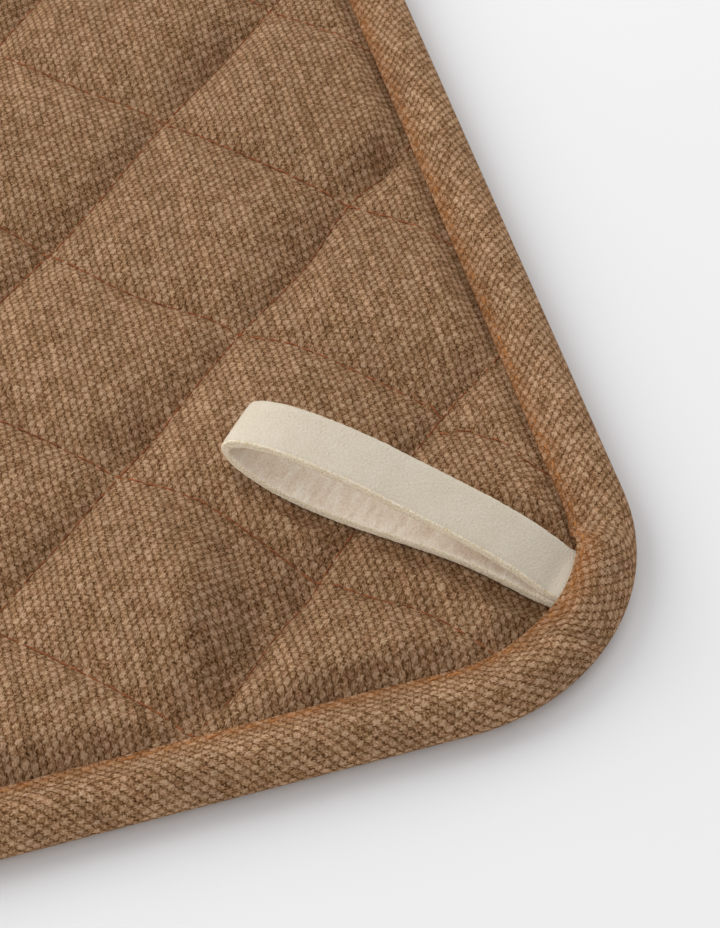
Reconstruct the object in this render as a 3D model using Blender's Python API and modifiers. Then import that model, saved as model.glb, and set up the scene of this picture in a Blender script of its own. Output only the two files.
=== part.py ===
"""A quilted canvas pot holder with a leather hanging loop, lying face up.

Frame: metres, +Z up, origin on the surface that the holder lies on, under the middle of its square.
The loop is sewn into the corner at +X, -Y and points inwards.
Lengths in this file are in millimetres until mesh_object turns them into metres.

The holder is three pieces that a maker cuts and sews:
  quilted_panel  face cloth, wadding and back cloth, stitched through in a diamond lattice
  edge_binding   a strip of the same canvas folded round the panel's edge
  hanging_loop   a leather strap, folded in half, with both ends caught under the binding
"""
import math

import bmesh
import bpy
from mathutils import Vector
from mathutils.geometry import delaunay_2d_cdt

MM = 0.001

# ---- the square and its binding
SIDE = 210.0
CORNER_R = 36.0
BINDING_W = 10.0
BINDING_CLOTH = 1.0

# ---- the quilting: stitched lines in two directions, CELL_U and CELL_V apart
CELL_U = 40.0
CELL_V = 35.7
QUILT_ANGLE = math.radians(47.65)
QUILT_ORIGIN = Vector((55.2, -18.0))
ALONG_U = Vector((math.cos(QUILT_ANGLE), -math.sin(QUILT_ANGLE)))
ALONG_V = Vector((-math.sin(QUILT_ANGLE), -math.cos(QUILT_ANGLE)))
SEAM_TOP = 4.2                  # height of the face cloth where it is stitched down
SEAM_UNDER = 1.5                # height of the back cloth there
CROWN_TOP = 2.8                 # how far a diamond swells above its seams
CROWN_UNDER = 2.6               # below them, before the surface presses it flat
PUFF_POWER = 0.62               # under 1 makes a diamond steep at its seams and broad on top
FACE_RISE = 7.5                 # distance in which the face climbs from the binding
BACK_FALL = 4.0                 # and in which the back comes down to the surface

# ---- the loop
STRAP_W = 9.2
STRAP_T = 1.8
LOOP_ROOT = Vector((90.47, -84.11))           # where the strap's middle leaves the binding
LOOP_IN = Vector((-0.7414, 0.6711))           # from the root towards the fold
LOOP_ACROSS = Vector((-0.6711, -0.7414))      # across the strap

# Middle of the strap's thickness: distance in from the binding, and height.
# The lower half lies over the diamonds, the fold stands clear, the upper half comes back.
LOOP_LOWER = (
    # run, height
    (-3.0, 4.15),
    (0.0, 4.20),
    (4.0, 4.55),
    (8.0, 5.55),
    (13.0, 6.55),
    (18.0, 6.95),
    (25.0, 6.75),
    (33.0, 6.35),
    (39.0, 6.35),
    (44.0, 6.85),
    (48.5, 7.80),
)
LOOP_FOLD = (
    # run, height
    (52.3, 9.35),
    (55.2, 11.35),
    (56.35, 13.50),
    (55.3, 15.50),
    (52.5, 16.75),
)
LOOP_UPPER = (
    # run, height
    (48.0, 17.50),
    (43.0, 17.50),
    (38.0, 17.10),
    (33.0, 16.35),
    (28.0, 15.25),
    (23.0, 14.15),
    (18.0, 13.00),
    (13.0, 11.70),
    (8.0, 9.95),
    (4.2, 8.05),
    (1.8, 6.60),
    (0.0, 6.25),
    (-3.0, 6.25),
)
LOOP_STEPS = 4                  # strips between two rows
LOOP_CROSS = 2                  # strips across the strap

# ---- how the strap presses the panel under it
PRESSED_GAP = 0.55              # more than touching pieces need, as the mesh spans its points
PRESSED_MARGIN = 1.8
PRESSED_SLOPE = 0.8
PRESSED_BEFORE = 1.0            # how far the press carries on outwards, past the caught ends
PRESSED_BEYOND = 6.0            # and inwards, past the lower half, where the fold lifts off

# ---- the binding's outer skin, from its inner edge on the face, over the roll, to its inner
# edge underneath. lift is the share of TUCK_RISE that a row gains where the strap goes in.
SKIN = (
    # inset, height, lift
    (10.0, 5.10, 1.00),
    (9.0, 5.42, 1.00),
    (8.0, 5.62, 0.96),
    (7.0, 6.25, 0.80),
    (5.9, 6.95, 0.60),
    (4.6, 7.30, 0.38),
    (3.2, 7.10, 0.18),
    (1.9, 6.40, 0.05),
    (0.9, 5.35, 0.00),
    (0.25, 4.20, 0.00),
    (0.0, 3.00, 0.00),
    (0.4, 1.70, 0.00),
    (1.3, 0.60, 0.00),
    (2.6, 0.00, 0.00),
    (6.0, 0.00, 0.00),
    (10.0, 0.00, 0.00),
)
TUCK_RISE = 3.65
TUCK_DRAW = 1.3                 # the strip ends shorter where it climbs over the strap
TUCK_ANGLE = math.radians(-35.5)     # seen from the corner's centre
TUCK_HALF = math.radians(12.5)
TUCK_SHOULDER = math.radians(10.0)

# ---- the panel's edge inside the binding, where the wadding is squeezed thin
HELD_EDGE = (
    # inset, face, back
    (2.4, 4.30, 2.30),
    (3.3, 5.20, 1.50),
    (4.7, 5.65, 1.38),
    (5.7, 5.40, 1.38),
    (6.6, 4.75, 1.38),
    (8.0, 4.00, 1.38),
    (10.0, 3.65, 1.38),
)

# ---- how the stitched lines stray from straight, as bulk quilting does
SWAY_U = {
    # line: (cells along it, mm across it), ...
    -1: ((-1.0, -0.2), (-0.4, 0.6), (0.0, 1.1), (0.6, 0.2)),
    0: ((-1.5, 0.2), (-1.0, 1.1), (-0.55, 2.5), (-0.05, 0.2), (0.3, -1.8), (0.96, -1.4),
        (1.03, 2.4), (1.14, 0.1), (1.27, -0.4), (1.45, 0.8)),
    1: ((-0.2, 0.2), (0.37, -1.8), (0.95, 1.0), (1.15, 0.8), (1.46, -1.0)),
}
SWAY_V = {
    # line: (cells along it, mm across it), ...
    -1: ((-1.0, -0.3), (-0.3, 1.0), (0.1, 0.9)),
    0: ((-1.0, 0.0), (-0.4, 1.3), (0.05, 0.3)),
    1: ((-0.5, 1.6), (0.0, 0.4)),
}
SWAY_ELSEWHERE = 0.8            # mm, a gentle wave with one turn in two cells
SWAY_PHASE = 2.1                # how far the wave is turned from one line to the next
SWAY_REACH = 0.6                # cells in which a listed sway gives way to that wave
REVERSE_ROUNDS = 6              # repeats that undo the sway to well under 0.1 mm

# ---- how unlike the diamonds are
PUFF_SPREAD = 0.1               # share of the swelling
PUFF_PHASE_A = 2.3
PUFF_PHASE_B = 4.1

# ---- mesh fineness
CELL_STEPS = (0.0, 0.07, 0.18, 0.33, 0.5, 0.67, 0.82, 0.93)
INNER_RINGS = (12.0, 14.5)
RING_STEP = 6.0
BINDING_STEP = 70.0
LATTICE_INSET = 16.2
LATTICE_REACH = 0.75            # of SIDE, enough for a lattice that lies slantwise
CORNER_STEPS = 12
LOOP_CORNER_STEPS = 30
FOOTPRINT_START = 6.0
FOOTPRINT_STEP = 3.5
FOOTPRINT_OFFS = (-8.2, -6.4, -3.2, 0.0, 3.2, 6.4, 8.2)
FOOTPRINT_CLEAR = 1.6
SAME_POINT = 1e-5
SHARP_ANGLE = math.radians(40)


# ------------------------------------------------------------------ small helpers
def smooth(t):
    """0 to 1 with level ends."""
    t = min(1.0, max(0.0, t))
    return t * t * (3.0 - 2.0 * t)


def mix(a, b, t):
    return a + (b - a) * t


def table_value(rows, x):
    """Straight-line reading of a table whose first column rises."""
    if x <= rows[0][0]:
        return rows[0][1]
    for (x0, y0), (x1, y1) in zip(rows, rows[1:]):
        if x <= x1:
            return mix(y0, y1, (x - x0) / (x1 - x0))
    return rows[-1][1]


def inset_at(x, y):
    """Distance inwards from the holder's rounded-square outline."""
    core = SIDE / 2 - CORNER_R
    dx = abs(x) - core
    dy = abs(y) - core
    if dx > 0 and dy > 0:
        return CORNER_R - math.hypot(dx, dy)
    return CORNER_R - max(dx, dy)


def material(name, colour, roughness):
    """A plain woven or leather finish."""
    mat = bpy.data.materials.new(name)
    mat.use_nodes = True
    shader = mat.node_tree.nodes["Principled BSDF"]
    shader.inputs["Base Color"].default_value = (*colour, 1.0)
    shader.inputs["Roughness"].default_value = roughness
    shader.inputs["Metallic"].default_value = 0.0
    mat.diffuse_color = (*colour, 1.0)
    return mat


def mesh_object(name, bm, mat, collection):
    """Put a millimetre mesh in the scene in metres, with outward faces and its own material."""
    bmesh.ops.scale(bm, vec=(MM, MM, MM), verts=bm.verts)
    bmesh.ops.recalc_face_normals(bm, faces=bm.faces)
    mesh = bpy.data.meshes.new(name)
    bm.to_mesh(mesh)
    bm.free()
    mesh.materials.append(mat)
    mesh.shade_smooth()
    mesh.set_sharp_from_angle(angle=SHARP_ANGLE)
    obj = bpy.data.objects.new(name, mesh)
    collection.objects.link(obj)
    return obj


# ------------------------------------------------------------------ the outline
def outline_stations(straight_step):
    """Stops round the rounded square, each a centre and an outward unit normal.

    A stop gives the point at any inset as centre + normal * (CORNER_R - inset).
    """
    core = SIDE / 2 - CORNER_R
    stops = []
    for quarter in range(4):
        turn = quarter * math.pi / 2 - math.pi / 2
        centre = Vector((math.copysign(core, math.cos(turn + math.pi / 4)),
                         math.copysign(core, math.sin(turn + math.pi / 4))))
        steps = LOOP_CORNER_STEPS if quarter == 0 else CORNER_STEPS
        for i in range(steps + 1):
            angle = turn + math.pi / 2 * i / steps
            stops.append((centre, Vector((math.cos(angle), math.sin(angle)))))
        normal = stops[-1][1]
        run = Vector((-normal.y, normal.x))
        pieces = round(2 * core / straight_step)
        for i in range(1, pieces):
            stops.append((centre + run * (2 * core * i / pieces), normal))
    return stops


def tuck_weight(centre, normal):
    """1 where the strap goes in under the binding, 0 away from it."""
    core = SIDE / 2 - CORNER_R
    if centre.x != core or centre.y != -core:
        return 0.0
    off = abs(math.atan2(normal.y, normal.x) - TUCK_ANGLE)
    return 1.0 - smooth((off - TUCK_HALF) / TUCK_SHOULDER)


# ------------------------------------------------------------------ the quilting
def sway(lists, line, along):
    """How far one stitched line strays sideways, in mm, at a place along it in cells."""
    general = SWAY_ELSEWHERE * math.cos(math.pi * along + SWAY_PHASE * line)
    listed = lists.get(line)
    if listed is None:
        return general
    first, last = listed[0][0], listed[-1][0]
    outside = max(first - along, along - last, 0.0) / SWAY_REACH
    for (x0, y0), (x1, y1) in zip(listed, listed[1:]):
        if along <= x1:
            known = mix(y0, y1, smooth((along - x0) / (x1 - x0)))
            break
    else:
        known = listed[-1][1]
    return mix(known, general, smooth(outside))


def between_lines(lists, across, along):
    """Sway between two neighbouring lines of one direction."""
    low = math.floor(across)
    return mix(sway(lists, low, along), sway(lists, low + 1, along), smooth(across - low))


def wander(a, b):
    """Shift of the lattice from straight."""
    return ALONG_U * between_lines(SWAY_V, a, b) + ALONG_V * between_lines(SWAY_U, b, a)


def lattice_point(a, b):
    """Plan position of a place in the lattice, counted in cells."""
    return QUILT_ORIGIN + ALONG_U * (a * CELL_U) + ALONG_V * (b * CELL_V) + wander(a, b)


def lattice_place(x, y):
    """The reverse of lattice_point."""
    target = Vector((x, y))
    shift = Vector((0.0, 0.0))
    for _ in range(REVERSE_ROUNDS):
        flat = target - QUILT_ORIGIN - shift
        a = flat.dot(ALONG_U) / CELL_U
        b = flat.dot(ALONG_V) / CELL_V
        shift = wander(a, b)
    return a, b


def puff(a, b):
    """0 on the stitched lines, about 1 in the middle of a diamond; no two swell quite alike."""
    shape = abs(math.sin(math.pi * a)) ** PUFF_POWER * abs(math.sin(math.pi * b)) ** PUFF_POWER
    turn = PUFF_PHASE_A * math.floor(a) + PUFF_PHASE_B * math.floor(b)
    return shape * (1.0 + PUFF_SPREAD * math.sin(turn))


def loop_place(x, y):
    """Distance in from the binding along the loop, and distance off its middle line."""
    flat = Vector((x, y)) - LOOP_ROOT
    return flat.dot(LOOP_IN), flat.dot(LOOP_ACROSS)


def room_under_strap(x, y):
    """Highest that the face cloth may come, where the strap's lower half presses it."""
    run, off = loop_place(x, y)
    if run > LOOP_LOWER[-1][0] + PRESSED_BEYOND:
        return math.inf
    beside = abs(off) - STRAP_W / 2 - PRESSED_MARGIN
    beyond = max(0.0, beside, LOOP_LOWER[0][0] - PRESSED_BEFORE - run)
    return table_value(LOOP_LOWER, run) - STRAP_T / 2 - PRESSED_GAP + PRESSED_SLOPE * beyond


def face_height(x, y):
    """Height of the panel's face cloth."""
    inset = inset_at(x, y)
    height = table_value([(row[0], row[1]) for row in HELD_EDGE], inset)
    if inset > BINDING_W:
        quilted = SEAM_TOP + CROWN_TOP * puff(*lattice_place(x, y))
        height = mix(height, quilted, smooth((inset - BINDING_W) / FACE_RISE))
    return min(height, room_under_strap(x, y))


def back_height(x, y):
    """Height of the panel's back cloth, pressed flat where it meets the surface."""
    inset = inset_at(x, y)
    height = table_value([(row[0], row[2]) for row in HELD_EDGE], inset)
    if inset > BINDING_W:
        quilted = SEAM_UNDER - CROWN_UNDER * puff(*lattice_place(x, y))
        height = mix(height, quilted, smooth((inset - BINDING_W) / BACK_FALL))
    return max(0.0, height)


def panel_points():
    """Plan points: rings that follow the edge, the lattice inside, and the strap's footprint."""
    points = []
    for inset in [row[0] for row in HELD_EDGE] + list(INNER_RINGS):
        for centre, normal in outline_stations(RING_STEP):
            points.append(centre + normal * (CORNER_R - inset))

    footprint = []
    run = FOOTPRINT_START
    while run < LOOP_LOWER[-1][0] + PRESSED_BEYOND:
        for off in FOOTPRINT_OFFS:
            spot = LOOP_ROOT + LOOP_IN * run + LOOP_ACROSS * off
            if inset_at(*spot) > LATTICE_INSET:
                footprint.append(spot)
        run += FOOTPRINT_STEP
    points += footprint

    reach = math.ceil(SIDE * LATTICE_REACH / CELL_V)
    for row in range(-reach, reach):
        for column in range(-reach, reach):
            for part_a in CELL_STEPS:
                for part_b in CELL_STEPS:
                    spot = lattice_point(column + part_a, row + part_b)
                    outside = abs(spot.x) > SIDE / 2 or abs(spot.y) > SIDE / 2
                    if outside or inset_at(*spot) < LATTICE_INSET:
                        continue
                    if all((spot - other).length > FOOTPRINT_CLEAR for other in footprint):
                        points.append(spot)
    return points


def build_panel(mat, collection):
    """Both cloths over one plan mesh, closed round the edge inside the binding."""
    plan, _, faces, _, _, _ = delaunay_2d_cdt(panel_points(), [], [], 0, SAME_POINT)
    bm = bmesh.new()
    face_side = [bm.verts.new((p.x, p.y, face_height(p.x, p.y))) for p in plan]
    back_side = [bm.verts.new((p.x, p.y, back_height(p.x, p.y))) for p in plan]
    for tri in faces:
        bm.faces.new([face_side[i] for i in tri])
        bm.faces.new([back_side[i] for i in reversed(tri)])
    rims = [edge for edge in bm.edges if edge.is_boundary]
    bmesh.ops.bridge_loops(bm, edges=rims)
    return mesh_object("quilted_panel", bm, mat, collection)


# ------------------------------------------------------------------ the binding
def binding_section(weight):
    """Closed outline of the folded strip as (inset, height), for a tuck weight of 0 to 1."""
    outer = []
    for inset, height, lift in SKIN:
        raised = lift * weight
        outer.append(Vector((inset - raised * TUCK_DRAW, height + raised * TUCK_RISE)))
    inner = []
    for i, spot in enumerate(outer):
        before = outer[max(i - 1, 0)]
        after = outer[min(i + 1, len(outer) - 1)]
        run = (after - before).normalized()
        # the ends are cut square, so that both edges stand at the same inset
        if i in (0, len(outer) - 1):
            run = Vector((-1.0, 0.0)) if i == 0 else Vector((1.0, 0.0))
        inner.append(spot + Vector((-run.y, run.x)) * BINDING_CLOTH)
    return outer + inner[::-1]


def build_binding(mat, collection):
    """Loft the section round the outline; it rises over the strap's tucked ends."""
    bm = bmesh.new()
    loops = []
    for centre, normal in outline_stations(BINDING_STEP):
        section = binding_section(tuck_weight(centre, normal))
        loop = []
        for inset, height in section:
            spot = centre + normal * (CORNER_R - inset)
            loop.append(bm.verts.new((spot.x, spot.y, height)))
        loops.append(loop)
    for this, following in zip(loops, loops[1:] + loops[:1]):
        for i, corner in enumerate(this):
            j = (i + 1) % len(this)
            bm.faces.new((corner, this[j], following[j], following[i]))
    return mesh_object("edge_binding", bm, mat, collection)


# ------------------------------------------------------------------ the loop
def smooth_route(rows, steps):
    """Catmull-Rom curve through the rows."""
    knots = [Vector(row) for row in rows]
    ends = [knots[0] * 2 - knots[1]] + knots + [knots[-1] * 2 - knots[-2]]
    route = []
    for before, start, end, after in zip(ends, ends[1:], ends[2:], ends[3:]):
        for i in range(steps):
            t = i / steps
            route.append(0.5 * (start * 2 + (end - before) * t
                                + (before * 2 - start * 5 + end * 4 - after) * t ** 2
                                + (start * 3 - before - end * 3 + after) * t ** 3))
    return route + [knots[-1]]


def build_loop(mat, collection):
    """The strap's middle surface, given its thickness by Solidify."""
    bm = bmesh.new()
    strips = []
    for run, height in smooth_route(LOOP_LOWER + LOOP_FOLD + LOOP_UPPER, LOOP_STEPS):
        strip = []
        for i in range(LOOP_CROSS + 1):
            off = STRAP_W * (i / LOOP_CROSS - 0.5)
            spot = LOOP_ROOT + LOOP_IN * run + LOOP_ACROSS * off
            strip.append(bm.verts.new((spot.x, spot.y, height)))
        strips.append(strip)
    for this, following in zip(strips, strips[1:]):
        for i in range(LOOP_CROSS):
            bm.faces.new((this[i], this[i + 1], following[i + 1], following[i]))
    loop = mesh_object("hanging_loop", bm, mat, collection)
    thickness = loop.modifiers.new("leather thickness", "SOLIDIFY")
    thickness.thickness = STRAP_T * MM
    thickness.offset = 0.0
    thickness.use_even_offset = True
    return loop


def main():
    for old in list(bpy.data.objects):
        bpy.data.objects.remove(old, do_unlink=True)
    holder = bpy.data.collections.new("pot_holder")
    bpy.context.scene.collection.children.link(holder)

    canvas = material("brown_canvas", (0.24, 0.13, 0.068), 0.9)
    binding_canvas = material("brown_canvas_binding", (0.25, 0.138, 0.068), 0.9)
    leather = material("cream_leather", (0.64, 0.57, 0.48), 0.55)

    build_panel(canvas, holder)
    build_binding(binding_canvas, holder)
    build_loop(leather, holder)


main()
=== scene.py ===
# %% [markdown]
# # A quilted canvas pot holder with a leather hanging loop
#
# The real one is made of three pieces: a square of canvas and wadding that is quilted in diamonds,
# a canvas strip folded round its edge, and a leather strap caught under that strip at one corner.
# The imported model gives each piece's place and size, so this script loads it first and only dresses
# it. Lengths are in millimetres here, because a sewer thinks in them, and become metres when a mesh
# is made.

# %% Load the frame
import math

import bmesh
import bpy
import numpy as np
from mathutils import Matrix, Vector
from mathutils.geometry import delaunay_2d_cdt


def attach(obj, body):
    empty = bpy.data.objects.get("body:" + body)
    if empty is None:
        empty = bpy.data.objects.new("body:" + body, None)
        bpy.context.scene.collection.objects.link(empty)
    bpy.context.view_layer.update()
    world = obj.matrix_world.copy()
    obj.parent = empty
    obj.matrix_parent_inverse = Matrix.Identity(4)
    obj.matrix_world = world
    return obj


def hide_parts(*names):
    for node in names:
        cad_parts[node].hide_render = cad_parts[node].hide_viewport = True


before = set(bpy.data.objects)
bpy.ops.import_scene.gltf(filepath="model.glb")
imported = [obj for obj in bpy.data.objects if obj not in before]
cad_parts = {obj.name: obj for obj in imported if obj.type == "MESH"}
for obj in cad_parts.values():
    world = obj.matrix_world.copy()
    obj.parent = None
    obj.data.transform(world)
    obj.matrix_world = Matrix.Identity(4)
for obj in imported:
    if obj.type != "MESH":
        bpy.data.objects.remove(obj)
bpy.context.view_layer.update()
MM = 0.001

# %% [markdown]
# ## Small helpers
#
# Colours are written as the sRGB hex values that an eye picks from a picture. Blender's shaders
# work in linear light, so one function turns them. Another adds a node with its settings and its
# links, which keeps each material short enough to read as a recipe: the inputs come in order, or by
# name, and each is a number, a socket, or a node whose first output is meant. Two more begin and
# end a material, and the last puts a mesh, a lamp or a camera in the scene.

# %% Helpers for colours, nodes and objects
MATH = "ShaderNodeMath"


def linear(code):
    """Turn an sRGB hex colour into linear red, green, blue and alpha."""
    parts = [int(code[i:i + 2], 16) / 255 for i in (0, 2, 4)]
    return [p / 12.92 if p <= 0.04045 else ((p + 0.055) / 1.055) ** 2.4 for p in parts] + [1.0]


def add(tree, kind, inputs=(), stops=(), **settings):
    """Add a node with its settings, its colour stops and its links."""
    node = tree.nodes.new(kind)
    for key, value in settings.items():
        setattr(node, key, value)
    for _ in stops[2:]:
        node.color_ramp.elements.new(1.0)
    for element, (position, colour) in zip(node.color_ramp.elements if stops else (), stops):
        element.position, element.color = position, linear(colour)
    in_use = [socket for socket in node.inputs if socket.enabled]
    for key, value in inputs.items() if isinstance(inputs, dict) else enumerate(inputs):
        socket = next(s for i, s in enumerate(in_use) if key in (i, s.name))
        if isinstance(value, bpy.types.Node):
            value = next(s for s in value.outputs if s.enabled)
        if isinstance(value, bpy.types.NodeSocket):
            tree.links.new(value, socket)
        else:
            socket.default_value = value
    return node


def new_material(name):
    mat = bpy.data.materials.new(name)
    mat.use_nodes = True
    return mat, mat.node_tree, mat.node_tree.nodes["Principled BSDF"]


def dress(tree, shader, colour, values, height=None, relief=0.0):
    """End a material: link its colour and its relief in mm, and set the shader's own sockets."""
    tree.links.new(next(s for s in colour.outputs if s.enabled), shader.inputs["Base Color"])
    if height is not None:
        bump = add(tree, "ShaderNodeBump", {"Height": height, "Distance": relief * MM})
        tree.links.new(bump.outputs[0], shader.inputs["Normal"])
    for name, value in values.items():
        shader.inputs[name].default_value = value


def put(name, data):
    """Put a mesh, a lamp or a camera in the scene, at the origin."""
    obj = bpy.data.objects.new(name, data)
    bpy.context.scene.collection.objects.link(obj)
    return obj


# %% [markdown]
# ## The shape that everything follows
#
# The outline is a square with round corners. Inside it, two families of stitched lines cross at
# nearly right angles. A place in that lattice is counted in cells, (a, b), and the lines lie at
# whole numbers. Bulk quilting is never quite straight, so each line has its own list of how far it
# strays. Writing the shape as functions of arrays lets numpy work out a hundred thousand points at
# once, and lets the cloth, its seams and its thread all use the same rule.

# %% Outline
SIDE = 210.0
CORNER_R = 36.0
CORE = SIDE / 2 - CORNER_R
BINDING_W = 10.0


def smooth(t):
    """0 to 1 with level ends."""
    t = np.clip(t, 0.0, 1.0)
    return t * t * (3.0 - 2.0 * t)


def mix(a, b, t):
    return a + (b - a) * t


def inset_at(x, y):
    """Distance inwards from the outline."""
    dx = np.abs(x) - CORE
    dy = np.abs(y) - CORE
    round_part = CORNER_R - np.hypot(np.maximum(dx, 0.0), np.maximum(dy, 0.0))
    return np.where((dx > 0) & (dy > 0), round_part, CORNER_R - np.maximum(dx, dy))


def within(x, y, inset):
    """True for the points that lie further in than the inset."""
    return (np.maximum(np.abs(x), np.abs(y)) < SIDE / 2) & (inset_at(x, y) > inset)


def far_along(rows):
    """Distance from the first row to each row, along them all."""
    legs = np.linalg.norm(np.diff(rows, axis=0), axis=1)
    return np.concatenate([[0.0], np.cumsum(legs)])


def outline(step):
    """Stops round the outline: centres, outward normals, and travel at mid-binding."""
    centres, normals = [], []
    for quarter in range(4):
        turn = quarter * math.pi / 2 - math.pi / 2
        middle = turn + math.pi / 4
        centre = np.array([math.copysign(CORE, math.cos(middle)),
                           math.copysign(CORE, math.sin(middle))])
        steps = math.ceil(CORNER_R * math.pi / 2 / step)
        for angle in turn + np.linspace(0.0, math.pi / 2, steps + 1):
            centres.append(centre)
            normals.append((math.cos(angle), math.sin(angle)))
        run = np.array([-normals[-1][1], normals[-1][0]])
        pieces = math.ceil(2 * CORE / step)
        for i in range(1, pieces):
            centres.append(centre + run * (2 * CORE * i / pieces))
            normals.append(normals[-1])
    centres, normals = np.array(centres), np.array(normals)
    track = centres + normals * (CORNER_R - BINDING_W / 2)
    return centres, normals, far_along(np.vstack([track, track[:1]]))


print("binding is", round(outline(3)[2][-1]), "mm long along its middle")

# %% The quilting lattice
CELL_U = 40.0
CELL_V = 35.7
QUILT_ANGLE = math.radians(47.65)
QUILT_ORIGIN = np.array([54.4, -17.1])
ALONG_U = np.array([math.cos(QUILT_ANGLE), -math.sin(QUILT_ANGLE)])
ALONG_V = np.array([-math.sin(QUILT_ANGLE), -math.cos(QUILT_ANGLE)])
SWAY_U = {
    # line: (cells along it, mm across it), ...
    -1: ((-1.0, -0.2), (-0.4, 0.6), (0.0, 1.1), (0.6, 0.2)),
    0: ((-1.5, 0.2), (-1.0, 1.1), (-0.55, 2.5), (-0.05, 0.2), (0.3, -1.8), (0.96, -1.4),
        (1.03, 2.4), (1.14, 0.1), (1.27, -0.4), (1.45, 0.8)),
    1: ((-0.2, 0.2), (0.37, -1.8), (0.95, 1.0), (1.15, 0.8), (1.46, -1.0)),
    2: ((0.0, -1.2), (0.3, -1.3), (0.9, -1.2)),
}
SWAY_V = {
    # line: (cells along it, mm across it), ...
    -1: ((-1.5, -0.6), (-1.0, 0.0), (-0.3, 1.3), (0.1, 1.1)),
    0: ((-1.6, 2.0), (-1.0, 0.4), (-0.4, 1.6), (0.05, 0.8), (0.7, 1.0), (1.4, 1.0)),
    1: ((-0.5, 1.0), (0.0, -0.2), (1.1, 0.1), (1.6, 0.1)),
}
SWAY_ELSEWHERE = 0.8            # mm, past the ends of the lists
SWAY_PHASE = 2.1                # turn of those waves from one line to the next
SWAY_REACH = 0.6                # cells in which a list gives way to them
REVERSE_ROUNDS = 6


def sway(lists, line, along):
    """How far stitched lines stray sideways, in mm."""
    out = SWAY_ELSEWHERE * np.cos(np.pi * along + SWAY_PHASE * line)
    for index, rows in lists.items():
        here = line == index
        place, amount = np.array(rows).T
        at = along[here]
        k = np.clip(np.searchsorted(place, at) - 1, 0, len(place) - 2)
        ease = smooth((at - place[k]) / (place[k + 1] - place[k]))
        known = mix(amount[k], amount[k + 1], ease)
        outside = np.maximum(place[0] - at, at - place[-1]) / SWAY_REACH
        out[here] = mix(known, out[here], smooth(outside))
    return out


def between_lines(lists, across, along):
    low = np.floor(across)
    ease = smooth(across - low)
    return mix(sway(lists, low, along), sway(lists, low + 1, along), ease)


def wander(a, b):
    """Shift of the lattice from straight."""
    across_v = between_lines(SWAY_V, a, b)
    across_u = between_lines(SWAY_U, b, a)
    return across_v[:, None] * ALONG_U + across_u[:, None] * ALONG_V


def lattice_point(a, b):
    flat = QUILT_ORIGIN + a[:, None] * CELL_U * ALONG_U + b[:, None] * CELL_V * ALONG_V
    return (flat + wander(a, b)).T


def lattice_place(x, y):
    """The reverse of lattice_point."""
    target = np.stack([x, y], axis=1) - QUILT_ORIGIN
    shift = np.zeros_like(target)
    for _ in range(REVERSE_ROUNDS):
        a = (target - shift) @ ALONG_U / CELL_U
        b = (target - shift) @ ALONG_V / CELL_V
        shift = wander(a, b)
    return a, b


probe = np.array([0.31, -1.7]), np.array([0.62, 1.2])
back_again = np.array(lattice_place(*lattice_point(*probe)))
print("lattice there and back:", np.abs(back_again - np.array(probe)).max())

# %% [markdown]
# ## The quilted panel
#
# Face canvas, wadding and back canvas are stitched through together, so each diamond swells
# between its seams. A cushion recipe with cloth simulation would blow every diamond up alike. Here
# the photo shows broad swellings that climb fast from a seam and drop steeply into the next one,
# so the height is worked out by that rule. Small waves that die away from the seams give the
# puckers of tight thread, and the few folds that make this corner what it is are listed one by one.

# %% How high the face and the back of the panel lie
SEAM_TOP = 4.0
SEAM_UNDER = 1.5
CROWN_TOP = 4.1
CROWN_UNDER = 2.6
ARCH_ACROSS_V = (0.52, 3.2, 4.2)        # place of the top in a cell, powers of rise and fall
ARCH_ACROSS_U = (0.44, 3.2, 3.2)
SLACK_U = 0.42                  # share of the crown that is left over the looser u lines
CREASE = 0.45                   # mm, how deep the thread cuts in along a u line
CREASE_HALF = 0.030             # cells
FACE_RISE = 5.5                 # mm in which the face rises from the binding to its own height
BACK_FALL = 4.0
PUFF_SPREAD = 0.06              # how much the diamonds differ in height
PUFF_PHASE_A = 2.3              # turns from one diamond to the next
PUFF_PHASE_B = 4.1
PUCKER = 0.16                   # mm, waves across the seams
PUCKER_LENGTH = 6.5             # mm from one to the next
PUCKER_REACH = 0.16             # cells in which they die away
PUCKER_DRIFT = 3                # turn by which they stray from even steps
PUCKER_DRIFT_SIZE = 40.0        # mm
LUMPS = 0.22                    # mm, how uneven the wadding is
LUMP_SIZE = 17.0                # mm
WAVE_COUNT = 7                  # crossing waves in one uneven swell
WAVE_SPREAD = (0.75, 1.6)       # their lengths against its size
FOLDS = (
    # cells a and b, turn in degrees, half length, reach before and after it, drop: all mm
    (-1.0, -1.50, 0, 9.0, 5.5, 1.0, 1.4),
    (-1.0, -0.10, 0, 6.0, 4.0, 1.0, 0.6),
    (0.0, -1.36, 0, 7.0, 3.2, 1.0, 2.1),
    (-0.13, -1.38, 0, 6.0, 5.0, 2.2, -1.2),
    (0.0, -0.62, 0, 8.0, 5.5, 1.2, 1.1),
    (0.0, 0.75, 0, 8.0, 5.0, 1.2, 0.9),
    (1.0, 1.10, 0, 6.0, 6.0, 1.0, 2.0),
    (1.0, 1.75, 0, 8.0, 6.0, 1.0, 1.8),
    (0.87, 1.10, 0, 5.0, 4.0, 3.0, -0.8),
    (0.70, 1.50, -45, 15.0, 9.0, 4.5, -3.4),
    (0.91, 1.50, -8, 13.0, 5.0, 3.0, 2.8),
    (0.72, 1.10, 90, 8.0, 1.5, 4.5, 1.5),
)
FACE, BACK = 1, 2               # columns of this table
HELD_EDGE = (
    # inset, face, back
    (2.4, 4.30, 2.30),
    (3.3, 5.20, 1.50),
    (4.7, 5.65, 1.38),
    (5.7, 5.40, 1.38),
    (6.6, 4.85, 1.38),
    (8.0, 4.30, 1.38),
    (10.0, 3.95, 1.38),
)
STRAP_W = 9.2
STRAP_T = 1.8
LOOP_ROOT = np.array([90.47, -84.11])
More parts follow.
